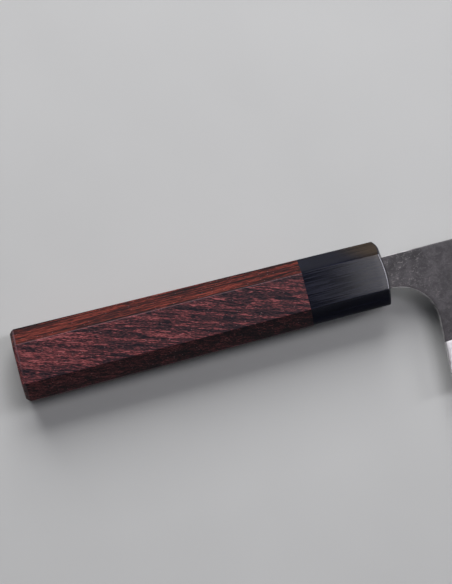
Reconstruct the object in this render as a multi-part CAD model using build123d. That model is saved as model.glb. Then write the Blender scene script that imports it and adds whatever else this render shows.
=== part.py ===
from build123d import *
import os
from math import cos, radians, sin, sqrt, tan

os.makedirs("parts", exist_ok=True)

# A nakiri knife: a laminated vegetable blade on an eight-sided stick handle of rosewood
# with a horn ferrule. It is worked out along the handle's axis: X runs to the nose, Y to
# the spine, and X = 0 is the front end of the handle's taper, just behind the tip of the
# ferrule's dome. At the end it is laid on its left side. All sizes are in millimetres.

# Handle: an even octagon that narrows from the butt to the ferrule's front face
handle_length = 130.0
butt_height = 25.4
butt_thickness = 21.2
butt_bevel_leg = 5.8
front_height = 22.7
front_thickness = 18.2
front_bevel_leg = 5.1
long_edge_ease = 0.35
butt_chamfer_run = 1.5
butt_chamfer_drop = 1.3

# Ferrule, and the dowel that joins it to the handle's body
ferrule_length = 28.6
ferrule_front_wall = 8.0
ferrule_dome_radius = 32.0
ferrule_dome_rise = 0.7
ferrule_dome_drop = 1.5
ferrule_rim_chamfer = 0.4
dowel_diameter = 14.0
dowel_length = 52.0
dowel_end_chamfer = 0.8
glue_line = 0.05

# Tang, and the bedding that fills the space round it
tang_root_height = 10.4
tang_past_dowel = 30.0
tang_tip_height = 5.0
tang_tip_thickness = 2.2
mouth_gap = 0.25
slot_gap = 0.4
pocket_gap = 0.8
pocket_end_gap = 4.0

# Blade outline
spine_above_axis = 5.5
neck_height = 11.45
neck_straight = 0.1
choil_radius = 13.6
heel_lean_angle = 3.2
heel_height = 50.0
blade_length = 165.0
edge_sweep = 2.5
nose_lean_angle = 3.5
nose_radius = 12.0
foot_radius = 3.0
foot_allowance = 0.05

# Blade section
neck_thickness = 3.6
nose_thickness = 2.2
bevel_top_thickness = 2.9
bevel_width = 16.2
edge_thickness = 0.24
edge_bevel_height = 0.4
outline_ease = 0.4
core_thickness = 1.1
core_nose_thickness = 0.8

# How far a cut runs past what it cuts
overrun = 5.0

# Places along the axis
junction = Plane.YZ.offset(-ferrule_length)
dowel_front_x = -ferrule_front_wall
dowel_back_x = dowel_front_x - dowel_length
tang_tip_x = dowel_back_x - tang_past_dowel
pocket_end_x = tang_tip_x - pocket_end_gap

# Places on the blade's outline
neck_bottom_y = spine_above_axis - neck_height
edge_heel_y = spine_above_axis - heel_height
heel_lean = radians(heel_lean_angle)
nose_lean = radians(nose_lean_angle)
neck_start_x = ferrule_dome_rise
choil_centre = Vector(neck_start_x + neck_straight, neck_bottom_y - choil_radius)
choil_end = choil_centre + Vector(cos(heel_lean), -sin(heel_lean)) * choil_radius
heel_x = choil_end.X - (choil_end.Y - edge_heel_y) * tan(heel_lean)
nose_x = heel_x + blade_length


def between(start, end, share):
    """The size that lies a share of the way from one size to another."""
    return start + (end - start) * share


def facet_reach(height, thickness, leg, across, up):
    """How far a facet lies from the axis, by which way it faces."""
    if across and up:
        return (height / 2 + thickness / 2 - leg) / sqrt(2)
    return height / 2 if across else thickness / 2


def planed_bar():
    """The whole handle, planed from a square stick one facet at a time."""
    stick_width = 2 * max(butt_height, butt_thickness)
    stick_length = handle_length + ferrule_dome_rise
    stick_middle = (ferrule_dome_rise - stick_length / 2, 0, 0)
    stick = Location(stick_middle) * Box(stick_length, stick_width, stick_width)
    for across in (-1, 0, 1):
        for up in (-1, 0, 1):
            if across == 0 and up == 0:
                continue
            facing = Vector(0, across, up).normalized()
            butt_reach = facet_reach(butt_height, butt_thickness, butt_bevel_leg, across, up)
            front_reach = facet_reach(front_height, front_thickness, front_bevel_leg, across, up)
            slope = (butt_reach - front_reach) / handle_length
            on_facet = facing * butt_reach - Vector(handle_length, 0, 0)
            facet = Plane(on_facet, z_dir=facing + Vector(slope, 0, 0))
            stick = split(stick, bisect_by=facet, keep=Keep.BOTTOM)
    return stick


def eased(blank, end_face, drop, run):
    """A length of the planed handle with one end chamfered and its long edges eased."""
    blank = chamfer(end_face.edges(), drop, run)
    lengthwise = blank.edges().filter_by(lambda edge: abs(edge.tangent_at(0).X) > cos(radians(20)))
    return fillet(lengthwise, long_edge_ease)


def body_blank():
    """The rosewood body before it is bored."""
    blank = split(planed_bar(), bisect_by=junction, keep=Keep.BOTTOM)
    butt = blank.faces().sort_by(Axis.X)[0]
    return eased(blank, butt, butt_chamfer_drop, butt_chamfer_run)


def front_ball():
    """The ball that the ferrule's front face is part of, its centre a little under the axis."""
    centre = (ferrule_dome_rise - ferrule_dome_radius, -ferrule_dome_drop, 0)
    return Location(centre) * Sphere(ferrule_dome_radius)


def ferrule_blank():
    """The horn ferrule before it is bored, with its front face dressed to a low dome."""
    blank = split(planed_bar(), bisect_by=junction, keep=Keep.TOP) & front_ball()
    front = blank.faces().sort_by(Axis.X)[-1]
    return eased(blank, front, ferrule_rim_chamfer, ferrule_rim_chamfer)


def slot_bar(front_x, back_x, height, thickness, centre_y):
    """A straight rectangular bar along the axis: the space of a slot or a pocket."""
    middle = Vector((front_x + back_x) / 2, centre_y, 0)
    return Location(middle) * Box(front_x - back_x, height, thickness)


def rod(front_x, back_x, diameter):
    """A round bar along the axis."""
    return extrude(Plane.YZ.offset(back_x) * Circle(diameter / 2), front_x - back_x)


# Thickness of the blade
neck_half = neck_thickness / 2
side_taper = (neck_thickness - nose_thickness) / 2 / nose_x
side_lean = (neck_thickness - bevel_top_thickness) / 2 / (heel_height - bevel_width)


def side_half(x, y):
    """Half the blade's thickness on its flat sides, which thin to the nose and the edge."""
    return neck_half - side_taper * x - side_lean * (spine_above_axis - y)


def edge_y(x):
    """The cutting edge: straight off the heel, then swept up a little to the nose."""
    return edge_heel_y + edge_sweep * ((x - heel_x) / blade_length) ** 2


def flat_slab():
    """The neck and blade between two flat sides, left deep below the edge."""
    low_y = edge_heel_y - overrun
    low_heel = (heel_x - overrun * tan(heel_lean), low_y)
    low_front = (nose_x - 2 * foot_radius, low_y)
    foot = Vector(nose_x, edge_y(nose_x) - foot_allowance)
    foot_back = foot - Vector(1, 2 * edge_sweep / blade_length) * foot_radius * 2
    spine_corner = (nose_x - heel_height * tan(nose_lean), spine_above_axis)
    neck_top = (neck_start_x, spine_above_axis)
    neck_bottom = (neck_start_x, neck_bottom_y)
    with BuildSketch() as outline:
        with BuildLine():
            choil = CenterArc(choil_centre, choil_radius, 90, -90 - heel_lean_angle)
            front = Polyline(choil @ 1, low_heel, low_front, foot_back, foot, spine_corner, neck_top)
            Polyline(front @ 1, neck_bottom, choil @ 0)
        make_face()
        fillet(outline.vertices().sort_by_distance(spine_corner)[0], nose_radius)
        fillet(outline.vertices().sort_by_distance(foot)[0], foot_radius)
    slab = extrude(outline.sketch, neck_thickness, both=True)
    for side in (1, -1):
        facing = Vector(side_taper, -side_lean, side)
        flat = Plane((0, spine_above_axis, side * neck_half), z_dir=facing)
        slab = split(slab, bisect_by=flat, keep=Keep.BOTTOM)
    rim = [
        edge
        for edge in slab.edges().filter_by(lambda edge: abs(edge.center().Z) > core_thickness / 2)
        if edge.center().X > neck_start_x and edge.center().Y > edge_heel_y + foot_radius
    ]
    return fillet(rim, outline_ease)


def bevel_section(x):
    """The wedge that the grinding leaves at one place, from the sharp edge upward."""
    edge = edge_y(x)
    top = edge + bevel_width
    foot = edge + edge_bevel_height
    foot_half = edge_thickness / 2
    slope = (side_half(x, top) - foot_half) / (top - foot)
    high = spine_above_axis + overrun
    high_half = foot_half + slope * (high - foot)
    points = [(edge, 0), (foot, foot_half), (high, high_half), (high, -high_half), (foot, -foot_half)]
    return Plane.YZ.offset(x) * make_face(Polyline(points, close=True))


def ground_blade():
    """The blade ground to its edge: the flat slab inside the lofted wedge."""
    station_shares = (-0.12, 0.2, 0.5, 0.8, 1.05)
    sections = [bevel_section(heel_x + share * blade_length) for share in station_shares]
    return flat_slab() & loft(sections)


def neck_section():
    """The neck's section in front of the ferrule, between the blade's flat sides."""
    heights = (spine_above_axis, neck_bottom_y)
    corners = [(y, side * side_half(neck_start_x, y)) for side in (1, -1) for y in heights]
    top_right, bottom_right, top_left, bottom_left = corners
    outline = Polyline([top_right, bottom_right, bottom_left, top_left], close=True)
    return Plane.YZ.offset(neck_start_x) * make_face(outline)


def tang_section(x):
    """The hidden tang's section, which narrows from its root in the ferrule to its tip."""
    share = (x - dowel_front_x) / (tang_tip_x - dowel_front_x)
    height = between(tang_root_height, tang_tip_height, share)
    thickness = between(neck_thickness, tang_tip_thickness, share)
    return Plane.YZ.offset(x) * Rectangle(height, thickness)


def forged_blade():
    """The blade with its neck and its tang, before the layers are told apart."""
    sections = [neck_section(), tang_section(dowel_front_x), tang_section(tang_tip_x)]
    return ground_blade() + loft(sections, ruled=True)


def core_space():
    """The room of the hard core: a thin even wedge from the tang's tip to the nose."""
    core_taper = (core_thickness - core_nose_thickness) / 2 / nose_x
    back_x = tang_tip_x - overrun
    front_x = nose_x + overrun
    back_half = core_thickness / 2 - core_taper * back_x
    front_half = core_thickness / 2 - core_taper * front_x
    points = [(back_x, back_half), (front_x, front_half), (front_x, -front_half), (back_x, -back_half)]
    wedge = Plane.XZ * make_face(Polyline(points, close=True))
    return extrude(wedge, heel_height + overrun, both=True)


def mouth_space():
    """The room that is cut for the neck through the ferrule's front."""
    front_x = ferrule_dome_rise + overrun
    height = neck_height + 2 * mouth_gap
    thickness = neck_thickness + 2 * mouth_gap
    return slot_bar(front_x, dowel_front_x, height, thickness, spine_above_axis - neck_height / 2)


def tang_space():
    """The room that is cut for the tang: the dowel's slot and the body's pocket."""
    slot_height = tang_root_height + 2 * slot_gap
    slot_thickness = neck_thickness + 2 * slot_gap
    at_pocket = tang_section(dowel_back_x).bounding_box().size
    pocket_height = at_pocket.Y + 2 * pocket_gap
    pocket_thickness = at_pocket.Z + 2 * pocket_gap
    slot = slot_bar(dowel_front_x, dowel_back_x, slot_height, slot_thickness, 0)
    pocket = slot_bar(dowel_back_x, pocket_end_x, pocket_height, pocket_thickness, 0)
    return slot + pocket


def dowel_blank():
    """The dowel before it is slotted, with its ends chamfered so that they start easily."""
    blank = rod(dowel_front_x, dowel_back_x, dowel_diameter)
    return chamfer(blank.edges().filter_by(GeomType.CIRCLE), dowel_end_chamfer)


# The pieces, each cut clear of those that go into it

forged = forged_blade()
layers = (forged - core_space()).solids().sort_by(Axis.Z)
bedding = (mouth_space() & front_ball()) + tang_space()
hollow = rod(dowel_front_x, dowel_back_x, dowel_diameter + 2 * glue_line) + mouth_space() + tang_space()

pieces = {
    "core_steel": forged & core_space(),
    "cladding_left": layers[0],
    "cladding_right": layers[-1],
    "ferrule": ferrule_blank() - hollow,
    "handle_body": body_blank() - hollow,
    "dowel": dowel_blank() - bedding,
    "tang_bedding": bedding - forged,
}

# The knife is laid on its left side, with the middle of its outline over the origin
around = Compound(children=[Compound(piece.solids()) for piece in pieces.values()]).bounding_box()
laid = Pos(-around.center().X, -around.center().Y, -around.min.Z)

for name, piece in pieces.items():
    solids = piece.solids()
    assert len(solids) == 1, f"{name} came out as {len(solids)} solids"
    export_step(laid * solids[0], f"parts/{name}.step")
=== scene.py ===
from math import asin, atan2, ceil, cos, hypot, pi, radians, sin, sqrt, tan

import bmesh
import bpy
import numpy as np
from mathutils import Matrix, Vector, noise
from mathutils.geometry import delaunay_2d_cdt


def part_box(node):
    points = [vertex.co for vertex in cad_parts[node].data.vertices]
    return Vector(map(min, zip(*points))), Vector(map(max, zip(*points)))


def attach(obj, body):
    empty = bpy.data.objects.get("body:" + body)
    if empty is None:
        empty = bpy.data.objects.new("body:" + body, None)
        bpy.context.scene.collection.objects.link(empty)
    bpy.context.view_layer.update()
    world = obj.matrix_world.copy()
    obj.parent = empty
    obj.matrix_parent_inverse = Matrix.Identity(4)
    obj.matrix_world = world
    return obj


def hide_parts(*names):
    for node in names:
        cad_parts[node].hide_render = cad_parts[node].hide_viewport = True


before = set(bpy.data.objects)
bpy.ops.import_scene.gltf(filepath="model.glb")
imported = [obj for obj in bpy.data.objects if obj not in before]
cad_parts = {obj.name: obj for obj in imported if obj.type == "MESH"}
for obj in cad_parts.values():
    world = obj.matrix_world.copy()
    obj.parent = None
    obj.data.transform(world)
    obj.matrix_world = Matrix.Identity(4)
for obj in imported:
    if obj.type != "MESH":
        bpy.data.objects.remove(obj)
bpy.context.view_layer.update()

# The looks of a nakiri knife that lies on its left side: a dark forged blade with a
# polished bevel, a horn ferrule and a rosewood handle. X runs to the nose, Y to the spine
# and Z up. The pieces are modelled in millimetres from a place on the handle's axis: the
# front end of the handle's taper, just behind the tip of the ferrule's domed front.

MM = 0.001

# The front end of the handle's taper, where X = 0, and the places behind it
handle_length = 130.0
body_low, body_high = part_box("handle_body")
axis_y, axis_z = (body_low.y + body_high.y) / 2, (body_low.z + body_high.z) / 2
axis_start = Vector((body_low.x + handle_length * MM, axis_y, axis_z))


def back_x(node):
    """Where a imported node's back end lies."""
    return (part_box(node)[0].x - axis_start.x) / MM


junction_x = back_x("ferrule")
dowel_back_x = back_x("dowel")
pocket_end_x = back_x("tang_bedding")
tang_tip_x = back_x("core_steel")
dowel_front_x = (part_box("dowel")[1].x - axis_start.x) / MM

# Handle: an octagon of the butt's sizes that narrows to the front's
butt_height, butt_thickness, butt_bevel_leg = 25.4, 21.2, 5.8
front_height, front_thickness, front_bevel_leg = 22.7, 18.2, 5.1
wood_mitre_radius, horn_mitre_radius = 0.35, 0.14
facet_crown = 0.05
hand_finish_depth, hand_finish_length = 0.025, 14.0
butt_chamfer_run, butt_chamfer_drop, butt_chamfer_bulge, butt_chamfer_guard = 1.5, 1.3, 0.12, 0.2
butt_face_shares = (0.97, 0.85, 0.6, 0.3, 0.1)
ferrule_dome_radius, ferrule_dome_rise, ferrule_dome_drop, ferrule_rim_radius = 32.0, 0.7, 1.5, 0.6
brow_swell, brow_lean, brow_spread, brow_growth = 0.85, radians(37.5), radians(19), 4
dowel_bore_radius = 7.05
pocket_height, pocket_thickness = 8.58, 4.31
facet_steps, mitre_steps, round_steps, dome_steps = 8, 4, 8, 6
station_length = 2.0
sharp_angle = radians(32)
ring_merge, blade_merge, tiny = 1e-4, 2e-4, 1e-9

# Neck and tang
spine_above_axis = 5.5
neck_height, neck_thickness, mouth_gap = 11.45, 3.6, 0.25
tang_root_height, tang_tip_height, tang_tip_thickness = 10.4, 5.0, 2.2

# Blade outline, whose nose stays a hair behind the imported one
neck_straight, choil_radius = 0.1, 13.6
heel_lean, nose_lean = radians(3.2), radians(3.5)
heel_height, blade_length, edge_sweep = 50.0, 165.0, 2.5
nose_radius, foot_radius, foot_allowance, nose_clearance = 12.0, 3.0, 0.06, 0.01

# Blade section
nose_thickness, bevel_top_thickness, bevel_width = 2.2, 2.9, 16.2
edge_thickness, edge_bevel_height, outline_ease = 0.24, 0.4, 0.4
core_thickness, core_nose_thickness = 1.1, 0.8

# Waves over the blade: depth, length and seed
forge_wave_depth, forge_wave_length, forge_wave_seed = 0.03, 11.0, 40
forge_grain_depth, forge_grain_length, forge_grain_seed = 0.008, 3.0, 80
weld_wave_depth, weld_wave_length, weld_wave_seed = 0.045, 9.0, 20
weld_wave_stretch, weld_fine_share, weld_fine_parts, weld_fine_seed = 0.5, 0.4, 3, 60

# Blade mesh: steps along its lines and over its faces, and how near they may come
flat_spacing, bevel_spacing, hidden_spacing, line_spacing = 0.85, 1.3, 3.0, 0.6
scale_line_margins, bevel_mesh_share, spot_clearance = (0.6, 1.6), 0.9, 0.55
edge_clearance, hidden_gap, hidden_margin, on_line = 0.2, 0.02, 0.5, 1e-3
heel_zone = 10.0
meeting_tries, crossing_tries = 12, 20
foot_steps, nose_steps, choil_steps, ease_steps = 14, 26, 40, 4

# Camera: where it stood and how it was turned when the photograph was taken
camera_place = Vector((-0.11586, -0.02582, 0.78137))
camera_right = Vector((0.96746, -0.25113, 0.03075))
camera_up = Vector((0.24839, 0.96588, 0.07329))
focal_length_px = 2245.96
image_long_side_px = 584
sensor_long_side = 36.0
nearest_seen, farthest_seen = 0.01, 20.0


def between(start, end, share):
    return start + (end - start) * share


def smooth_wave(x, y, z, length):
    """A smooth random value from -1 to 1 that changes over a length."""
    return noise.noise(Vector((x, y, z)) / length)


# Octagonal pieces: rings of points that run round the axis, skinned in order

def facet_reach(height, thickness, leg, facet):
    """How far a facet lies from the axis: 0 faces the spine, 2 faces up, odd ones are bevels."""
    if facet % 2:
        return (height / 2 + thickness / 2 - leg) / sqrt(2)
    return height / 2 if facet % 4 == 0 else thickness / 2


def octagon_ring(x, mitre_radius, inset=0.0):
    """The handle's outline at one place: crowned facets with rounded mitres."""
    share = -x / handle_length
    reaches = []
    for facet in range(8):
        butt = facet_reach(butt_height, butt_thickness, butt_bevel_leg, facet)
        front = facet_reach(front_height, front_thickness, front_bevel_leg, facet)
        reaches.append(between(front, butt, share) - inset)
    normals = [Vector((cos(facet * pi / 4), sin(facet * pi / 4))) for facet in range(8)]
    mitres = []
    for facet in range(8):
        near, far = reaches[facet] - facet_crown, reaches[(facet + 1) % 8] - facet_crown
        start, end = facet * pi / 4, (facet + 1) * pi / 4
        corner = Vector((near - mitre_radius, far - mitre_radius))
        centre = Vector((
            corner.x * sin(end) - corner.y * sin(start),
            corner.y * cos(start) - corner.x * cos(end),
        ))
        centre /= sin(end - start)
        angles = [between(start, end, step / mitre_steps) for step in range(mitre_steps + 1)]
        mitres.append([centre + mitre_radius * Vector((cos(a), sin(a))) for a in angles])
    ring = []
    for facet in range(8):
        start, end = mitres[facet - 1][-1], mitres[facet][0]
        for step in range(1, facet_steps):
            part = step / facet_steps
            bulge = facet_crown * 4 * part * (1 - part)
            ring.append(start.lerp(end, part) + normals[facet] * bulge)
        ring += mitres[facet]
    worn = []
    for point in ring:
        dip = hand_finish_depth * (1 + smooth_wave(x, point.x, point.y, hand_finish_length)) / 2
        point = point * (1 - dip / point.length)
        worn.append(Vector((x, point.x, point.y)))
    return worn


def round_ring(x, radius, like):
    """A circle round the axis with its points at the same angles as another ring's."""
    angles = [atan2(point.z, point.y) for point in like]
    return [Vector((x, radius * cos(a), radius * sin(a))) for a in angles]


def box_ring(x, height, thickness, centre_y, like):
    """A rectangle round the axis with its points at about the same angles as another ring's."""
    ring = []
    for point in like:
        a = atan2(point.z, point.y)
        reach = min(height / 2 / max(abs(cos(a)), tiny), thickness / 2 / max(abs(sin(a)), tiny))
        ring.append(Vector((x, centre_y + reach * cos(a), reach * sin(a))))
    for side in (-1, 1):
        for up in (-1, 1):
            corner = Vector((x, centre_y + side * height / 2, up * thickness / 2))
            nearest = min(range(len(ring)), key=lambda index: (ring[index] - corner).length)
            ring[nearest] = corner
    return ring


def stations(start, end):
    """Even steps from one place on the axis to another, both included."""
    count = ceil(abs(end - start) / station_length)
    return [between(start, end, step / count) for step in range(count + 1)]


def link(name, data, material, slot, *nodes):
    """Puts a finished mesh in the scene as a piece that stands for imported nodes."""
    data.transform(Matrix.Translation(axis_start) @ Matrix.Scale(MM, 4))
    data.materials.append(material)
    for face in data.polygons:
        face.use_smooth = True
    data.set_sharp_from_angle(angle=sharp_angle)
    piece = bpy.data.objects.new(name, data)
    bpy.context.scene.collection.objects.link(piece)
    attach(piece, "root")
    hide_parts(*nodes)
    return piece


def skin(name, rings, closed=False):
    """A mesh over rings in order, closed onto itself or capped at both ends."""
    mesh = bmesh.new()
    rows = [[mesh.verts.new(point) for point in ring] for ring in rings]
    if closed:
        rows.append(rows[0])
    for low, high in zip(rows, rows[1:]):
        for index in range(len(low)):
            mesh.faces.new((low[index - 1], low[index], high[index], high[index - 1]))
    if not closed:
        mesh.faces.new(rows[0])
        mesh.faces.new(rows[-1])
    bmesh.ops.remove_doubles(mesh, verts=mesh.verts, dist=ring_merge)
    bmesh.ops.recalc_face_normals(mesh, faces=mesh.faces)
    data = bpy.data.meshes.new(name)
    mesh.to_mesh(data)
    mesh.free()
    return data


def rosewood_body():
    """The body: its pocket and bore, its planed facets, and its chamfered, domed butt."""
    chamfer_x = butt_chamfer_run - handle_length
    outer = [octagon_ring(x, wood_mitre_radius) for x in stations(junction_x, chamfer_x)]
    seam = outer[0]
    rings = [box_ring(x, pocket_height, pocket_thickness, 0, seam) for x in (pocket_end_x, dowel_back_x)]
    rings += [round_ring(x, dowel_bore_radius, seam) for x in (dowel_back_x, junction_x)]
    guard_x = butt_chamfer_run + butt_chamfer_guard - handle_length
    rings += outer[:-1] + [octagon_ring(guard_x, wood_mitre_radius), outer[-1]]
    lean = atan2(butt_chamfer_drop, butt_chamfer_run)
    for step in range(1, round_steps + 1):
        part = step / round_steps
        bulge = butt_chamfer_bulge * 4 * part * (1 - part)
        run = butt_chamfer_run * (1 - part) - bulge * sin(lean)
        drop = butt_chamfer_drop * part - bulge * cos(lean)
        rings.append(octagon_ring(max(run, 0) - handle_length, wood_mitre_radius, drop))
    end = rings[-1]
    for share in butt_face_shares:
        rings.append([Vector((point.x, point.y * share, point.z * share)) for point in end])
    return skin("rosewood_body", rings)


def dome_x(y, z, depth=0.0):
    """Where the ferrule's domed front lies, or a depth under it, with its brows near the spine."""
    ball = ferrule_dome_radius - depth
    front_reach = facet_reach(front_height, front_thickness, front_bevel_leg, 1)
    off_brow = (atan2(abs(z), y) - brow_lean) / brow_spread
    brow = brow_swell * max(1 - off_brow ** 2, 0) * (hypot(y, z) / front_reach) ** brow_growth
    dome = sqrt(ball ** 2 - (y + ferrule_dome_drop) ** 2 - z ** 2)
    return ferrule_dome_rise - ferrule_dome_radius + dome + brow


def ferrule_rim(rim, core, ends):
    """Rings that round the ferrule's sides over into its domed front."""
    rings = []
    for step in range(1, round_steps + 1):
        ring = []
        for outer, inner, end in zip(rim, core, ends):
            reach = hypot(inner.y + ferrule_dome_drop, inner.z)
            lean = asin(reach / (ferrule_dome_radius - ferrule_rim_radius))
            turn = between(pi / 2, lean, step / round_steps)
            spot = inner.lerp(outer, sin(turn))
            ring.append(Vector((end + ferrule_rim_radius * cos(turn), spot.y, spot.z)))
        rings.append(ring)
    return rings


def horn_ferrule():
    """The ferrule: its domed front with a rounded rim, the neck's mouth and the dowel's bore."""
    rim = octagon_ring(-ferrule_rim_radius, horn_mitre_radius)
    core = octagon_ring(-ferrule_rim_radius, horn_mitre_radius, ferrule_rim_radius)
    ends = [dome_x(point.y, point.z, ferrule_rim_radius) for point in core]
    rings = []
    for x in stations(junction_x, 0.0):
        share = 1 - x / junction_x
        ring = octagon_ring(between(junction_x, -ferrule_rim_radius, share), horn_mitre_radius)
        places = [between(junction_x, end, share) for end in ends]
        rings.append([Vector((place, point.y, point.z)) for place, point in zip(places, ring)])
    rings += ferrule_rim(rim, core, ends)
    front = rings[-1]
    mouth = (neck_height + 2 * mouth_gap, neck_thickness + 2 * mouth_gap, spine_above_axis - neck_height / 2)
    mouth_front = box_ring(0.0, *mouth, rim)
    for step in range(1, dome_steps + 1):
        ring = []
        for start, goal in zip(front, mouth_front):
            spot = start.lerp(goal, step / dome_steps)
            ring.append(Vector((dome_x(spot.y, spot.z), spot.y, spot.z)))
        rings.append(ring)
    rings.append(box_ring(dowel_front_x, *mouth, rim))
    rings += [round_ring(x, dowel_bore_radius, rim) for x in (dowel_front_x, junction_x)]
    return skin("horn_ferrule", rings, closed=True)


# Blade: half thicknesses over its outline, for the right side (+1) and the left (-1)

neck_bottom_y = spine_above_axis - neck_height
edge_heel_y = spine_above_axis - heel_height
choil_centre = Vector((ferrule_dome_rise + neck_straight, neck_bottom_y - choil_radius))
choil_end = choil_centre + choil_radius * Vector((cos(heel_lean), -sin(heel_lean)))
heel_x = choil_end.x - (choil_end.y - edge_heel_y) * tan(heel_lean)
nose_x = heel_x + blade_length - nose_clearance
side_taper = (neck_thickness - nose_thickness) / 2 / nose_x
side_lean = (neck_thickness - bevel_top_thickness) / 2 / (heel_height - bevel_width)
core_taper = (core_thickness - core_nose_thickness) / 2 / nose_x


def edge_y(x):
    """The cutting edge: straight off the heel, then swept up a little to the nose."""
    return edge_heel_y + edge_sweep * (max(x - heel_x, 0) / blade_length) ** 2


def flat_half(x, y):
    """Half the thickness on the forged flats, which run on as the hidden tang."""
    if x >= 0:
        return neck_thickness / 2 - side_taper * x - side_lean * (spine_above_axis - y)
    root_share = min(x / dowel_front_x, 1)
    tip_share = min(max((x - dowel_front_x) / (tang_tip_x - dowel_front_x), 0), 1)
    root = between(flat_half(0, y), neck_thickness / 2, root_share)
    return between(root, tang_tip_thickness / 2, tip_share)


def scale_half(x, y, side):
    """The flats with the waves that the hammer left in their scale."""
    wave = forge_wave_depth * smooth_wave(x, y, side * forge_wave_seed, forge_wave_length)
    grain = forge_grain_depth * smooth_wave(x, y, side * forge_grain_seed, forge_grain_length)
    return flat_half(x, y) + wave + grain


def bevel_half(x, y):
    """The ground wedge, from the sharp edge upward."""
    edge = edge_y(x)
    foot = edge + edge_bevel_height
    foot_half = edge_thickness / 2
    if y < foot:
        return foot_half * (y - edge) / edge_bevel_height
    return foot_half + bevel_slope(x) * (y - foot)


def bevel_slope(x):
    top = edge_y(x) + bevel_width
    return (flat_half(max(x, 0), top) - edge_thickness / 2) / (bevel_width - edge_bevel_height)


def weld_half(x, y, side):
    """The forge weld between the core and the side, which wanders a little."""
    stretched = y * weld_wave_stretch
    wander = weld_wave_depth * smooth_wave(x, stretched, side * weld_wave_seed, weld_wave_length)
    fine = smooth_wave(x, y, side * weld_fine_seed, weld_wave_length / weld_fine_parts)
    return core_thickness / 2 - core_taper * x + wander + weld_wave_depth * weld_fine_share * fine


def meeting_y(x, half, side):
    """Where the ground bevel meets another surface, by a few steps of correction."""
    y = edge_y(x) + bevel_width / 2
    for _ in range(meeting_tries):
        y = edge_y(x) + edge_bevel_height + (half(x, y, side) - edge_thickness / 2) / bevel_slope(x)
    return y


def arc(centre, radius, start, end, steps):
    angles = [between(start, end, step / steps) for step in range(steps + 1)]
    return [centre + radius * Vector((cos(a), sin(a))) for a in angles]


def rounded(before, corner, after, radius, steps):
    """An arc that rounds a corner, from the run before it to the run after it."""
    back, ahead = (before - corner).normalized(), (after - corner).normalized()
    half = back.angle(ahead) / 2
    centre = corner + (back + ahead).normalized() * radius / sin(half)
    start = corner + back * radius / tan(half) - centre
    end = corner + ahead * radius / tan(half) - centre
    turn = atan2(start.x * end.y - start.y * end.x, start.dot(end))
    first = atan2(start.y, start.x)
    return arc(centre, radius, first, first + turn, steps)


def divided(points, spacing):
    """A line's points with its long runs cut into even steps."""
    line = [points[0]]
    for start, end in zip(points, points[1:]):
        steps = max(1, ceil((end - start).length / spacing))
        line += [start.lerp(end, step / steps) for step in range(1, steps + 1)]
    return line


def crossing(half, side, at_x):
    """Where a meeting line crosses the heel or the nose, whose x is given by height."""
    y = edge_heel_y + bevel_width / 2
    for _ in range(crossing_tries):
        y = meeting_y(at_x(y), half, side)
    return Vector((at_x(y), y))


def heel_line_x(y):
    return heel_x + (y - edge_heel_y) * tan(heel_lean)


def nose_line_x(y):
    return nose_x - (y - edge_y(nose_x) + foot_allowance) * tan(nose_lean)


def blade_rim(marks):
    """The outline without the cutting edge, from the foot of the nose round to the heel."""
    foot = Vector((nose_x, edge_y(nose_x) - foot_allowance))
    foot_back = foot - Vector((1, 2 * edge_sweep / blade_length)) * foot_radius * 2
    shoulder = Vector((nose_line_x(spine_above_axis), spine_above_axis))
    neck_top = Vector((0, spine_above_axis))
    points = rounded(foot_back, foot, shoulder, foot_radius, foot_steps)
    points += sorted((mark for mark in marks if mark.x > heel_x + heel_zone), key=lambda mark: mark.y)
    points += rounded(foot, shoulder, neck_top, nose_radius, nose_steps)
    root, tip = tang_root_height / 2, tang_tip_height / 2
    points += [neck_top, Vector((dowel_front_x, root)), Vector((tang_tip_x, tip))]
    points += [Vector((tang_tip_x, -tip)), Vector((dowel_front_x, -root)), Vector((0, neck_bottom_y))]
    points += arc(choil_centre, choil_radius, pi / 2, -heel_lean, choil_steps)
    points += sorted((mark for mark in marks if mark.x < heel_x + heel_zone), key=lambda mark: -mark.y)
    points += [Vector((heel_x, edge_heel_y))]
    return divided(points, line_spacing)


def distances(spots, line):
    """How far each spot lies from a line."""
    nearest = np.full(len(spots), np.inf)
    line = np.array([tuple(point) for point in line])
    for start, end in zip(line, line[1:]):
        run = end - start
        share = np.clip((spots - start) @ run / (run @ run), 0, 1)
        nearest = np.minimum(nearest, np.hypot(*(spots - start - share[:, None] * run).T))
    return nearest


def inside(spots, loop):
    """Which spots lie inside a closed line."""
    loop = np.array([tuple(point) for point in loop])
    found = np.zeros(len(spots), bool)
    for (ax, ay), (bx, by) in zip(loop, np.roll(loop, -1, axis=0)):
        if ay == by:
            continue
        spans = (spots[:, 1] > min(ay, by)) & (spots[:, 1] <= max(ay, by))
        found ^= spans & (spots[:, 0] < ax + (spots[:, 1] - ay) * (bx - ax) / (by - ay))
    return found


def inset_line(rim, depth):
    """The rim's inner points moved inward by a depth."""
    points = []
    for before, point, after in zip(rim, rim[1:], rim[2:]):
        run = (after - before).normalized()
        points.append(point + depth * Vector((-run.y, run.x)))
    return points


def triangles(loop, lines, spots):
    """A triangle mesh inside a loop that keeps every line as edges."""
    points = list(loop)
    edges = [(index, (index + 1) % len(loop)) for index in range(len(loop))]
    for line in lines:
        first = len(points)
        points += line
        edges += [(first + index, first + index + 1) for index in range(len(line) - 1)]
    points += [Vector(spot) for spot in spots]
    inside_only, tolerance = 1, 1e-5
    made = delaunay_2d_cdt(points, edges, [], inside_only, tolerance, False)
    spots, faces = np.array([tuple(point) for point in made[0]]), np.array(made[2])
    kept = inside(spots[faces].mean(axis=1), loop)
    return spots, [tuple(int(index) for index in face) for face in faces[kept]]


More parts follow.
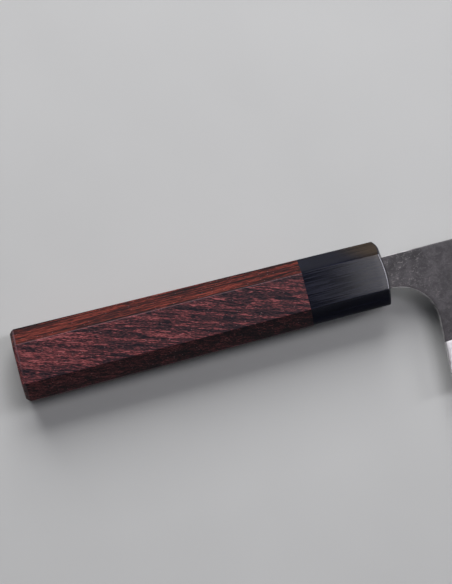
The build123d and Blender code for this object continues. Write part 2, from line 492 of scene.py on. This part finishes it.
def lattice(spacing, low, high):
    """Staggered spots over a rectangle."""
    rows = np.arange(low[1], high[1], spacing * sqrt(3) / 2)
    columns = np.arange(low[0], high[0], spacing)
    return np.array([(x + (row % 2) * spacing / 2, y) for row, y in enumerate(rows) for x in columns])


def spots_in(loop, lines, spacing, low, high):
    """Staggered spots inside a loop that keep clear of the lines."""
    spots = lattice(spacing, low, high)
    spots = spots[inside(spots, loop)]
    for line in lines:
        spots = spots[distances(spots, line) > spacing * spot_clearance]
    return spots


class Sheet:
    """One side of the blade as triangles, with half thicknesses and marks for the finish."""

    def __init__(self, side, rim, edge, weld_line):
        self.side = side
        scale_line = self.scale_line()
        turns = [step * pi / 2 / ease_steps for step in range(1, ease_steps + 1)]
        rings = [self.clear(inset_line(rim, outline_ease * (1 - cos(turn)))) for turn in turns]
        loop = rim + edge[1:-1]
        lines = [weld_line, scale_line] + rings
        spots = self.inner_spots(loop, [rim + edge[1:], weld_line, scale_line, rings[-1]])
        self.spots, self.faces = triangles(loop, lines, spots)
        self.rim_distance = distances(self.spots, rim)
        self.heights = np.array([self.height(x, y, d) for (x, y), d in zip(self.spots, self.rim_distance)])
        self.welds = np.array([weld_half(x, y, side) for x, y in self.spots])
        self.over_weld = self.height_over(weld_line)
        self.over_scale = self.height_over(scale_line)
        hidden_depth = np.where(self.over_weld > on_line, hidden_gap, 0.0)
        self.inner = np.minimum(self.welds, self.heights - hidden_depth)
        self.inner = np.where(abs(self.over_weld) <= on_line, self.heights, self.inner)

    def scale_line(self):
        """Where the forge scale meets the ground bevel, from near the heel to near the nose."""
        start = heel_line_x(edge_heel_y + bevel_width) + scale_line_margins[0]
        xs = np.arange(start, nose_x - scale_line_margins[1], line_spacing)
        return [Vector((x, meeting_y(x, scale_half, self.side))) for x in xs]

    def inner_spots(self, loop, lines):
        """Spots over the flat, the bevel and the hidden tang that keep clear of the lines."""
        bevel_top = edge_heel_y + bevel_width * bevel_mesh_share
        areas = [
            (flat_spacing, (0, bevel_top), (nose_x, spine_above_axis)),
            (bevel_spacing, (0, edge_heel_y), (nose_x, bevel_top)),
            (hidden_spacing, (tang_tip_x, edge_heel_y), (-hidden_margin, spine_above_axis)),
        ]
        return np.vstack([spots_in(loop, lines, *area) for area in areas])

    def clear(self, line):
        """The part of an inset line that stays off the cutting edge."""
        return [point for point in line if point.y > edge_y(point.x) + edge_clearance]

    def height_over(self, line):
        """How far each spot lies above a line."""
        line = np.array([tuple(point) for point in line])
        return self.spots[:, 1] - np.interp(self.spots[:, 0], line[:, 0], line[:, 1])

    def height(self, x, y, from_rim):
        half = min(scale_half(x, y, self.side), bevel_half(x, y))
        ease = min(outline_ease, half / 2)
        if from_rim < ease:
            half -= ease - sqrt(ease ** 2 - (ease - from_rim) ** 2)
        return max(half, 0)

    def chosen(self, above):
        """The triangles above the weld line, or those below it."""
        heights = self.over_weld[np.array(self.faces)].mean(axis=1)
        return [face for face, height in zip(self.faces, heights) if (height > 0) == above]

    def lifted(self, halves, faces):
        """Triangles at given half thicknesses, as points, faces and marks."""
        points = np.column_stack([self.spots, self.side * halves])
        return points, faces, self.marks()

    def marks(self):
        return np.column_stack([self.over_scale, self.over_weld, self.rim_distance])

    def rim_edges(self, faces):
        """The triangles' border edges that lie on the rim."""
        seen = {}
        for face in faces:
            for start, end in zip(face, face[1:] + face[:1]):
                key = (min(start, end), max(start, end))
                seen[key] = seen.get(key, 0) + 1
        border = [list(key) for key, count in seen.items() if count == 1]
        return [key for key in border if max(self.rim_distance[key]) < on_line]

    def wall(self, faces, tops, bottoms):
        """The strip along the rim between two sets of half thicknesses."""
        points, quads, marks = [], [], []
        own = self.marks()
        for start, end in self.rim_edges(faces):
            first = len(points)
            quads.append((first, first + 1, first + 2, first + 3))
            for index, halves in ((start, tops), (end, tops), (end, bottoms), (start, bottoms)):
                points.append((*self.spots[index], self.side * halves[index]))
                marks.append(own[index])
        return np.array(points), quads, np.array(marks)


def joined(name, parts):
    """One closed mesh from parts whose borders meet, with its marks kept as attributes."""
    points, faces, marks = [], [], []
    for part_points, part_faces, part_marks in parts:
        first = sum(len(group) for group in points)
        faces += [tuple(first + index for index in face) for face in part_faces]
        points.append(part_points)
        marks.append(part_marks)
    points, marks = np.vstack(points), np.vstack(marks)
    data = bpy.data.meshes.new(name)
    data.from_pydata([tuple(point) for point in points], [], faces)
    for column, mark in enumerate(("over_scale", "over_weld", "from_rim")):
        layer = data.attributes.new(mark, "FLOAT", "POINT")
        layer.data.foreach_set("value", marks[:, column].astype(np.float32))
    mesh = bmesh.new()
    mesh.from_mesh(data)
    bmesh.ops.remove_doubles(mesh, verts=mesh.verts, dist=blade_merge)
    bmesh.ops.delete(mesh, geom=[vert for vert in mesh.verts if not vert.link_faces], context="VERTS")
    bmesh.ops.recalc_face_normals(mesh, faces=mesh.faces)
    mesh.to_mesh(data)
    mesh.free()
    return data


def cutting_edge(foot):
    """The edge's points from the heel to the foot of the nose."""
    steps = ceil((foot.x - heel_x) / line_spacing)
    xs = [between(heel_x, foot.x, step / steps) for step in range(steps + 1)]
    return [Vector((x, edge_y(x))) for x in xs[:-1]] + [foot]


def weld_points(start, end, side):
    """The line along which the ground bevel cuts the weld, between the heel and the nose."""
    xs = np.arange(start.x + line_spacing, end.x - line_spacing / 2, line_spacing)
    return [start] + [Vector((x, meeting_y(x, weld_half, side))) for x in xs] + [end]


def blade_meshes():
    """The two iron sides and the hard core between them, as three closed meshes."""
    ends = {}
    for side in (1, -1):
        ends[side] = [crossing(weld_half, side, heel_line_x), crossing(weld_half, side, nose_line_x)]
    rim = blade_rim(ends[1] + ends[-1])
    edge = cutting_edge(rim[0])
    meshes, core_parts = {}, []
    for side, name in ((1, "right"), (-1, "left")):
        weld_line = weld_points(*ends[side], side)
        sheet = Sheet(side, rim, edge, weld_line)
        above, below = sheet.chosen(True), sheet.chosen(False)
        outer = sheet.lifted(sheet.heights, above)
        inner = sheet.lifted(sheet.inner, above)
        wall = sheet.wall(above, sheet.heights, sheet.inner)
        meshes[name] = joined(f"iron_side_{name}", [outer, inner, wall])
        middle = np.zeros(len(sheet.spots))
        core_parts += [sheet.lifted(sheet.heights, below), sheet.lifted(sheet.inner, above)]
        core_parts.append(sheet.wall(above, sheet.inner, middle))
        core_parts.append(sheet.wall(below, sheet.heights, middle))
    meshes["core"] = joined("steel_core", core_parts)
    return meshes


class Shader:
    """A material's node tree, built one node at a time."""

    def __init__(self, name):
        self.material = bpy.data.materials.new(name)
        self.material.use_nodes = True
        self.tree = self.material.node_tree
        self.surface = self.tree.nodes["Principled BSDF"]

    def set(self, node, inputs):
        """Sets each input: another node's output is linked, and a plain value is written."""
        for name, value in inputs.items():
            socket = node.inputs[name]
            if isinstance(value, bpy.types.NodeSocket):
                self.tree.links.new(value, socket)
            else:
                socket.default_value = value

    def add(self, kind, inputs, **settings):
        node = self.tree.nodes.new(kind)
        for name, value in settings.items():
            setattr(node, name, value)
        self.set(node, inputs)
        return node

    def finish(self, **inputs):
        """Sets the surface's own inputs, with spaces in their names written as underscores."""
        self.set(self.surface, {name.replace("_", " "): value for name, value in inputs.items()})
        return self.material

    def place(self):
        """Where a point lies from the front end of the handle's taper, in millimetres."""
        coordinates = self.add("ShaderNodeTexCoord", {}).outputs["Object"]
        inputs = {0: coordinates, 1: tuple(axis_start)}
        centred = self.add("ShaderNodeVectorMath", inputs, operation="SUBTRACT").outputs[0]
        return self.scaled(centred, (1 / MM,) * 3)

    def mark(self, name):
        """A mark that the mesh carries at each of its points."""
        return self.add("ShaderNodeAttribute", {}, attribute_name=name).outputs["Fac"]

    def scaled(self, vector, factors):
        return self.add("ShaderNodeVectorMath", {0: vector, 1: factors}, operation="MULTIPLY").outputs[0]

    def along(self, vector, direction):
        """How far a point lies along a direction."""
        inputs = {0: vector, 1: tuple(Vector(direction).normalized())}
        return self.add("ShaderNodeVectorMath", inputs, operation="DOT_PRODUCT").outputs["Value"]

    def math(self, operation, first, second=0.0):
        return self.add("ShaderNodeMath", {0: first, 1: second}, operation=operation).outputs[0]

    def times(self, first, *others):
        """A value multiplied by others in order."""
        for other in others:
            first = self.math("MULTIPLY", first, other)
        return first

    def noise(self, vector, scale=1.0, detail=2.0, roughness=0.5, distortion=0.0):
        inputs = {"Vector": vector, "Scale": scale, "Detail": detail}
        inputs.update({"Roughness": roughness, "Distortion": distortion})
        return self.add("ShaderNodeTexNoise", inputs).outputs["Fac"]

    def dots(self, vector):
        """How far a point lies from the nearest of scattered dots, one to a unit of space."""
        return self.add("ShaderNodeTexVoronoi", {"Vector": vector, "Scale": 1.0}).outputs["Distance"]

    def threads(self, vector):
        """Thin lines, where a slow noise crosses its middle."""
        slow = self.math("ABSOLUTE", self.math("SUBTRACT", self.noise(vector, 1.0, *thread_look), 0.5))
        return self.band(slow, *thread_widths)

    def facing(self, direction):
        """How much the surface itself, without its bumps, faces a direction."""
        return self.along(self.add("ShaderNodeNewGeometry", {}).outputs["True Normal"], direction)

    def mixed(self, parts):
        """Noises about a half, weighted and summed into a tone about a half."""
        total = 0.5
        for value, weight in parts:
            total = self.math("ADD", total, self.times(self.math("SUBTRACT", value, 0.5), weight))
        return total

    def layered(self, vector, layers, last):
        """Layers of noise, each with its steps, look and weight, and one more part, summed."""
        parts = []
        for steps, look, weight in layers:
            parts.append((self.noise(self.scaled(vector, steps), 1.0, *look), weight))
        return self.mixed(parts + [last])

    def band(self, value, start, end, low=0.0, high=1.0):
        """Maps start..end to low..high with soft shoulders, and holds the ends."""
        inputs = {"Value": value, "From Min": start, "From Max": end, "To Min": low, "To Max": high}
        return self.add("ShaderNodeMapRange", inputs, interpolation_type="SMOOTHSTEP").outputs[0]

    def ramp(self, value, stops):
        """A colour for a value, from (place, colour) stops."""
        node = self.add("ShaderNodeValToRGB", {"Fac": value})
        elements = node.color_ramp.elements
        while len(elements) < len(stops):
            elements.new(0.5)
        for element, (place, colour) in zip(elements, stops):
            element.position = place
            element.color = (*colour, 1.0)
        return node.outputs["Color"]

    def blend(self, share, first, second):
        """One colour laid over another by a share."""
        node = self.add("ShaderNodeMix", {}, data_type="RGBA")
        values = {"Factor": share, "A": first, "B": second}
        for socket in node.inputs:
            if socket.enabled and socket.name in values:
                value = values[socket.name]
                if isinstance(value, bpy.types.NodeSocket):
                    self.tree.links.new(value, socket)
                else:
                    socket.default_value = value if socket.type == "VALUE" else (*value, 1.0)
        return next(socket for socket in node.outputs if socket.enabled)

    def bump(self, height, depth, strength):
        """The normal over a height map whose full depth is given in millimetres."""
        inputs = {"Height": height, "Distance": depth * MM, "Strength": strength}
        return self.add("ShaderNodeBump", inputs).outputs["Normal"]


# The materials' values. Steps are a noise's steps per millimetre along X, Y and Z, and a look is
# its detail, roughness and distortion, after its scale where it has one. The other pairs and
# fours are bands: where they start and end and, in the fours, what they give there.

# Rosewood: the fibre's run over the upper facet, and the layers that the facet cuts
wood_fibre, wood_layers = Vector((1, -0.33, 0)), Vector((0.33, 1, -3))

# Its grain from broad to fine: steps, look and weight
straight_grain = [
    ((0.014, 0.3, 0.3), (2.0, 0.5, 0.3), 1.2), ((0.03, 1.4, 1.4), (3.0, 0.7, 0.2), 3.0),
    ((0.4, 4.5, 4.5), (1.0, 0.5, 0.2), 1.8),
]
slanting_grain = [
    ((0.03, 0.2, 0.3), (2.0, 0.5, 0.4), 0.9), ((0.032, 0.8, 0.55), (2.0, 0.6, 0.3), 1.2),
    ((0.20, 5.0, 3.2), (1.0, 0.6, 0.25), 1.4), ((0.9, 6.5, 5.0), (1.0, 0.5, 0.2), 1.8),
]
slanting_colours = [
    (0.05, (0.006, 0.005, 0.010)), (0.32, (0.021, 0.011, 0.016)), (0.50, (0.050, 0.021, 0.026)),
    (0.68, (0.088, 0.025, 0.028)), (0.84, (0.175, 0.036, 0.040)), (1.0, (0.32, 0.090, 0.095)),
]
straight_colours = [
    (0.10, (0.004, 0.002, 0.003)), (0.35, (0.018, 0.005, 0.006)),
    (0.52, (0.043, 0.007, 0.006)), (0.72, (0.090, 0.012, 0.009)), (0.95, (0.19, 0.036, 0.023)),
]
# Painted light: the handle's tone is paler toward the butt, where more light falls, and darker toward the
# ferrule
butt_painted_light = (-handle_length, junction_x, 0.58, 0.42)
straight_painted_light_weight, slanting_painted_light_weight = 0.4, 1.0

# Its facets, by how much they face the spine, and the painted shade, near black, on the facets that face
# away from the spine, where the light doesn't reach
slanting_facets, painted_shade_facets = (0.55, 0.3), (-0.3, -0.6, 0.0, 0.6)
painted_underside_shade = (0.004, 0.002, 0.003)

# Its threads, which break off and start again, and its pale specks
thread_look, thread_widths, thread_weight = (0.0, 0.5, 0.25), (0.08, 0.02), 0.36
break_steps = (0.35, 1.6, 1.6)
pale_steps, pale_runs = (0.09, 1.5, 1.2), (0.42, 0.55)
dark_steps, dark_runs = (0.08, 1.3, 1.0), (0.6, 0.47)
speck_steps, speck_sizes, speck_colour = (0.45, 0.9, 0.9), (0.14, 0.05, 0.0, 0.4), (0.42, 0.25, 0.26)

# Its painted edge highlights, by how much they face the butt or the spine
arris_start, arris_end, arris_fade = (0.04, 0.2), (0.64, 0.54), (-5.0, 3.0, 0.25, 1.0)
crease_start, crease_end, crease_off_butt = (0.04, 0.1), (0.66, 0.56), (0.3, 0.1)
edge_highlight_share, edge_highlight_colour = 0.38, (0.22, 0.13, 0.15)

# Its surface: depth in millimetres and strength of the grain, and the gloss
wood_relief, wood_roughness, wood_specular = (0.04, 0.4), (0.3, 0.7, 0.48, 0.36), 0.15


def wood_threads(wood, grain):
    """Pale and dark threads that take turns along the fibre, as a change of tone."""
    breaks = wood.noise(wood.scaled(grain, break_steps))
    pale = wood.times(wood.threads(wood.scaled(grain, pale_steps)), wood.band(breaks, *pale_runs))
    dark = wood.times(wood.threads(wood.scaled(grain, dark_steps)), wood.band(breaks, *dark_runs))
    return wood.times(wood.math("SUBTRACT", pale, dark), thread_weight)


def painted_edge_highlights(wood, place, toward_spine):
    """Painted highlights: pale lines on the butt's arris and on the crease under the upper bevel, fading
    toward the side away from the spine.
    """
    backward = wood.facing((-1, 0, 0))
    arris = wood.times(wood.band(backward, *arris_start), wood.band(backward, *arris_end))
    arris = wood.times(arris, wood.band(wood.along(place, (0, 1, 0)), *arris_fade))
    crease = wood.times(wood.band(toward_spine, *crease_start), wood.band(toward_spine, *crease_end))
    crease = wood.times(crease, wood.band(backward, *crease_off_butt))
    return wood.times(wood.math("MAXIMUM", arris, crease), edge_highlight_share)


def rosewood():
    """Dark rosewood: straight streaks on the facets near the spine and slanting flecks elsewhere, with
    painted shade on the underside, painted highlights on two edges and painted light toward the butt.
    """
    wood = Shader("rosewood")
    place = wood.place()
    directions = {"X": wood_fibre, "Y": wood_layers.cross(wood_fibre), "Z": wood_layers}
    runs = {axis: wood.along(place, direction) for axis, direction in directions.items()}
    grain = wood.add("ShaderNodeCombineXYZ", runs).outputs[0]
    toward_spine = wood.facing((0, 1, 0))
    slanting = wood.band(toward_spine, *slanting_facets)
    # Painted light: paler toward the butt, as if more light fell there
    painted_butt_light = wood.band(wood.along(place, (1, 0, 0)), *butt_painted_light)
    straight_tone = wood.layered(place, straight_grain, (painted_butt_light, straight_painted_light_weight))
    slanting_tone = wood.layered(grain, slanting_grain, (painted_butt_light, slanting_painted_light_weight))
    slanting_tone = wood.math("ADD", slanting_tone, wood_threads(wood, grain))
    # Painted shade: the facets that face away from the spine turn near black, as if unlit
    painted_shade_share = wood.band(toward_spine, *painted_shade_facets)
    red = wood.blend(painted_shade_share, wood.ramp(slanting_tone, slanting_colours), painted_underside_shade)
    colour = wood.blend(slanting, wood.ramp(straight_tone, straight_colours), red)
    specks = wood.band(wood.dots(wood.scaled(grain, speck_steps)), *speck_sizes)
    colour = wood.blend(specks, colour, speck_colour)
    # Painted highlight: pale lines where the butt's arris and the upper crease would catch the light
    colour = wood.blend(painted_edge_highlights(wood, place, toward_spine), colour, edge_highlight_colour)
    change = wood.times(slanting, wood.math("SUBTRACT", slanting_tone, straight_tone))
    normal = wood.bump(wood.math("ADD", straight_tone, change), *wood_relief)
    inputs = {"Base_Color": colour, "Roughness": wood.band(slanting_tone, *wood_roughness)}
    return wood.finish(**inputs, Normal=normal, Specular_IOR_Level=wood_specular)


# Horn: its streaks, a black whose blue tint is a painted cool sheen, the upper front corner with a painted
# olive reflection, and the painted highlight on the rim of its front
horn_steps, horn_look = (0.05, 2.6, 2.6), (4.0, 0.7)
horn_black_and_sheen = [(0.35, (0.001, 0.0012, 0.004)), (0.7, (0.006, 0.007, 0.019))]
horn_olive_reflection = [(0.35, (0.014, 0.009, 0.006)), (0.7, (0.058, 0.038, 0.022))]
olive_direction, olive_corner = (0.25, 1, 0.4), (6.0, 9.5)
olive_front, olive_off_rim = (-18.0, -5.0), (0.03, 0.15, 1.0, 0.0)
rim_start, rim_end, rim_sides = (0.12, 0.35), (0.8, 0.65), (0.2, 0.35, 0.75, 0.06)
rim_highlight_colour = (0.47, 0.46, 0.51)
horn_relief, horn_roughness, horn_specular = (0.007, 0.5), (0.3, 0.7, 0.07, 0.15), 0.23


def horn():
    """Polished black horn with fine streaks and a blue tint of painted sheen, a painted olive reflection at
    its upper front corner and a painted highlight on its rim.
    """
    shell = Shader("horn")
    place = shell.place()
    streaks = shell.noise(shell.scaled(place, horn_steps), 1.0, *horn_look)
    corner = shell.band(shell.along(place, olive_direction), *olive_corner)
    toward_front = shell.band(shell.along(place, (1, 0, 0)), *olive_front)
    forward = shell.facing((1, 0, 0))
    olive_reflection_share = shell.times(corner, toward_front, shell.band(forward, *olive_off_rim))
    # Painted reflection: olive where the upper front corner would mirror its warm surroundings; painted
    # sheen: the black's blue tint
    colour = shell.blend(olive_reflection_share, shell.ramp(streaks, horn_black_and_sheen), shell.ramp(streaks, horn_olive_reflection))
    sideways = shell.math("ABSOLUTE", shell.facing((0, 1, 0)))
    rim = shell.times(shell.band(forward, *rim_start), shell.band(forward, *rim_end))
    rim = shell.times(rim, shell.band(sideways, *rim_sides))
    # Painted highlight: a pale rim on the front, strongest on the facets that don't face sideways
    inputs = {"Base_Color": shell.blend(rim, colour, rim_highlight_colour)}
    inputs["Roughness"] = shell.band(streaks, *horn_roughness)
    normal = shell.bump(streaks, *horn_relief)
    return shell.finish(**inputs, Normal=normal, Specular_IOR_Level=horn_specular)


# Forge scale: clouds and mottle with their weights, and scuffs that thicken toward the neck
cloud_look, cloud_weight = (0.09, 3.0, 0.6), 1.1
mottle_look, mottle_weight = (0.4, 4.0, 0.65, 0.4), 1.6
forge_scale_colours = [
    (0.2, (0.012, 0.010, 0.013)), (0.5, (0.026, 0.022, 0.027)), (0.8, (0.048, 0.042, 0.048)),
]
neck_reach = (26.0, 2.0)
scuff_steps, scuff_look, scuff_colour = (0.9, 1.3, 1.3), (5.0, 0.75, 0.8), (0.24, 0.22, 0.22)
scuff_patches, scuff_share = (0.52, 0.68), (0, 1, 0.10, 0.6)
scale_relief, mottle_roughness = (0.03, 0.6), (0.3, 0.7, 0.05, -0.03)

# Bare iron: the ground bevel up to its line, and the rim, rubbed in patches and most at the neck
ground_line, unground_share = (0.06, -0.06), (0, 1, 1, 0)
rubbed_look, rubbed_share = (0.12, 3.0, 0.6), (0.4, 0.6, 0.4, 1.0)
rim_wear, neck_wear = (0.32, 0.1), (0.2, 1, 0.12, 0.85)
satin_steps, satin_look = (0.12, 0.5, 0.5), (4.0, 0.6)
satin_colours = [(0.35, (0.80, 0.775, 0.785)), (0.65, (0.92, 0.89, 0.905))]
bare_roughness, bare_metallic = (0, 1, 0.42, 0.36), (0, 1, 0.1, 1.0)

# Core steel
core_steps, core_look, core_roughness = (0.1, 3.0, 3.0), (3.0, 0.6), (0.3, 0.7, 0.2, 0.28)
core_colours = [(0.35, (0.78, 0.77, 0.76)), (0.65, (0.88, 0.87, 0.86))]

# Hidden pieces: a mottle with its two colours, and the roughness
hidden_look, hidden_places = (0.4, 3.0, 0.6), (0.35, 0.65)
dowel_wood = ((0.45, 0.33, 0.2), (0.6, 0.46, 0.3), 0.6)
bedding_epoxy = ((0.02, 0.02, 0.02), (0.04, 0.04, 0.04), 0.5)


def forged_iron():
    """Iron cladding: forge scale on the sides, a satin ground bevel and a worn rim."""
    iron = Shader("cladding_iron")
    place = iron.place()
    clouds = iron.noise(place, *cloud_look)
    mottle = iron.noise(place, *mottle_look)
    tone = iron.mixed([(clouds, cloud_weight), (mottle, mottle_weight)])
    near_neck = iron.band(iron.along(place, (1, 0, 0)), *neck_reach)
    scuffs = iron.noise(iron.scaled(place, scuff_steps), 1.0, *scuff_look)
    scuffed = iron.times(iron.band(scuffs, *scuff_patches), iron.band(near_neck, *scuff_share))
    scale = iron.blend(scuffed, iron.ramp(tone, forge_scale_colours), scuff_colour)
    ground = iron.band(iron.mark("over_scale"), *ground_line)
    brushed = iron.noise(iron.scaled(place, satin_steps), 1.0, *satin_look)
    rubbed = iron.band(iron.noise(place, *rubbed_look), *rubbed_share)
    worn = iron.times(iron.band(iron.mark("from_rim"), *rim_wear), rubbed)
    worn = iron.times(worn, iron.band(near_neck, *neck_wear))
    bare = iron.math("MAXIMUM", ground, worn)
    colour = iron.blend(bare, scale, iron.ramp(brushed, satin_colours))
    normal = iron.bump(iron.times(tone, iron.band(ground, *unground_share)), *scale_relief)
    grip = iron.band(mottle, *mottle_roughness)
    roughness = iron.math("ADD", iron.band(bare, *bare_roughness), grip)
    metallic = iron.band(bare, *bare_metallic)
    return iron.finish(Base_Color=colour, Roughness=roughness, Metallic=metallic, Normal=normal)


def core_steel():
    """Hard core steel, ground and polished brighter than the iron beside it."""
    steel = Shader("core_steel")
    streaks = steel.noise(steel.scaled(steel.place(), core_steps), 1.0, *core_look)
    colour = steel.ramp(streaks, core_colours)
    return steel.finish(Base_Color=colour, Roughness=steel.band(streaks, *core_roughness), Metallic=1.0)


def plain(name, low, high, roughness):
    """A hidden surface with a soft two-tone mottle."""
    shader = Shader(name)
    mottle = shader.noise(shader.place(), *hidden_look)
    colour = shader.ramp(mottle, list(zip(hidden_places, (low, high))))
    return shader.finish(Base_Color=colour, Roughness=roughness)


def dress(node, material):
    """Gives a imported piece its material."""
    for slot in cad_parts[node].material_slots:
        slot.material = material


# Backdrop in metres, and its paint, which glows to the camera where the lamps don't reach
floor_radius, cove_radius, wall_height = 2.6, 0.8, 2.2
backdrop_sides, cove_steps, backdrop_merge = 96, 12, 1e-5
floor_mottle_scale, floor_roughness = 0.02, 0.9
floor_colours = [(0.3, (0.54, 0.54, 0.54)), (0.7, (0.56, 0.56, 0.56))]
glow_strength, glow_colour = 0.22, (1.0, 1.0, 1.0, 1.0)
glow_heights, glow_reaches, glow_behind = (100.0, 500.0), (1000.0, 2600.0), (-1500.0, 0.0)


def floor_paint():
    """Pale paint with a glow on the walls, and on the far floor behind the knife's spine."""
    paint = Shader("floor_paint")
    place = paint.place()
    colour = paint.ramp(paint.noise(place, floor_mottle_scale), floor_colours)
    rays = paint.add("ShaderNodeLightPath", {}).outputs
    seen = paint.math("MAXIMUM", rays["Is Camera Ray"], rays["Is Glossy Ray"])
    high = paint.band(paint.along(place, (0, 0, 1)), *glow_heights, 0.0, glow_strength)
    reach = paint.add("ShaderNodeVectorMath", {0: place}, operation="LENGTH").outputs["Value"]
    behind = paint.band(paint.along(place, (0, 1, 0)), *glow_behind)
    far = paint.times(paint.band(reach, *glow_reaches, 0.0, glow_strength), behind)
    glow = paint.times(seen, paint.math("MAXIMUM", high, far))
    inputs = {"Emission_Color": glow_colour, "Emission_Strength": glow}
    return paint.finish(Base_Color=colour, Roughness=floor_roughness, **inputs)


def backdrop():
    """A pale floor that curves up into a wall far from the knife."""
    profile = [(0.0, 0.0), (floor_radius / 2, 0.0), (floor_radius, 0.0)]
    for step in range(1, cove_steps + 1):
        turn = pi / 2 * step / cove_steps
        profile.append((floor_radius + cove_radius * sin(turn), cove_radius * (1 - cos(turn))))
    profile.append((floor_radius + cove_radius, wall_height))
    mesh = bmesh.new()
    points = [mesh.verts.new((across, 0, up)) for across, up in profile]
    edges = [mesh.edges.new(pair) for pair in zip(points, points[1:])]
    around = {"axis": (0, 0, 1), "cent": (0, 0, 0), "angle": 2 * pi, "steps": backdrop_sides}
    bmesh.ops.spin(mesh, geom=points + edges, **around)
    bmesh.ops.remove_doubles(mesh, verts=mesh.verts, dist=backdrop_merge)
    data = bpy.data.meshes.new("floor")
    mesh.to_mesh(data)
    mesh.free()
    for face in data.polygons:
        face.use_smooth = True
    data.materials.append(floor_paint())
    floor = bpy.data.objects.new("floor", data)
    bpy.context.scene.collection.objects.link(floor)


def softbox(name, place, target, width, height, radiance, colour=(1.0, 1.0, 1.0)):
    """A large rectangular lamp of a given brightness, turned to a point."""
    light = bpy.data.lights.new(name, "AREA")
    light.shape = "RECTANGLE"
    light.size, light.size_y = width, height
    light.energy = radiance * pi * width * height
    light.color = colour
    lamp = bpy.data.objects.new(name, light)
    lamp.location = place
    lamp.rotation_euler = (Vector(target) - Vector(place)).to_track_quat("-Z", "Y").to_euler()
    bpy.context.scene.collection.objects.link(lamp)


# Lamps: place, the point they face, width, height and radiance, and a tint
lamps = {
    "key_light": ((0.0, 1.0, 0.85), (0, 0, 0), 1.0, 0.9, 6.2),
    "overhead_light": ((0.325, 0.1, 1.0), (0.325, 0.1, 0), 0.46, 0.3, 5.4, (1.0, 0.98, 1.03)),
    "edge_light": ((0.85, 0.1, 0.8), (0, 0, 0), 0.14, 0.34, 14.0),
}
sky_colour, sky_strength = (0.85, 0.9, 1.0, 1.0), 0.08


def lighting():
    """Three softboxes and a faint sky."""
    for name, settings in lamps.items():
        softbox(name, *settings)
    world = bpy.data.worlds.new("studio")
    world.use_nodes = True
    sky = world.node_tree.nodes["Background"].inputs
    sky["Color"].default_value = sky_colour
    sky["Strength"].default_value = sky_strength
    bpy.context.scene.world = world


def camera():
    """The camera at the photograph's place, angle and lens."""
    data = bpy.data.cameras.new("camera")
    data.sensor_width = sensor_long_side
    data.lens = focal_length_px * sensor_long_side / image_long_side_px
    data.clip_start, data.clip_end = nearest_seen, farthest_seen
    back = camera_right.cross(camera_up)
    turn = Matrix((camera_right, camera_up, back)).transposed()
    item = bpy.data.objects.new("camera", data)
    item.matrix_world = Matrix.Translation(camera_place) @ turn.to_4x4()
    bpy.context.scene.collection.objects.link(item)
    bpy.context.scene.camera = item


camera()
lighting()
backdrop()
link("rosewood_body", rosewood_body(), rosewood(), "rosewood", "handle_body")
link("horn_ferrule", horn_ferrule(), horn(), "horn", "ferrule")
blade = blade_meshes()
iron = forged_iron()
link("iron_side_right", blade["right"], iron, "cladding_iron", "cladding_right")
link("iron_side_left", blade["left"], iron, "cladding_iron", "cladding_left")
link("steel_core", blade["core"], core_steel(), "core_steel", "core_steel")
dress("dowel", plain("dowel_wood", *dowel_wood))
dress("tang_bedding", plain("bedding_epoxy", *bedding_epoxy))

bpy.context.scene.view_settings.view_transform = "Standard"
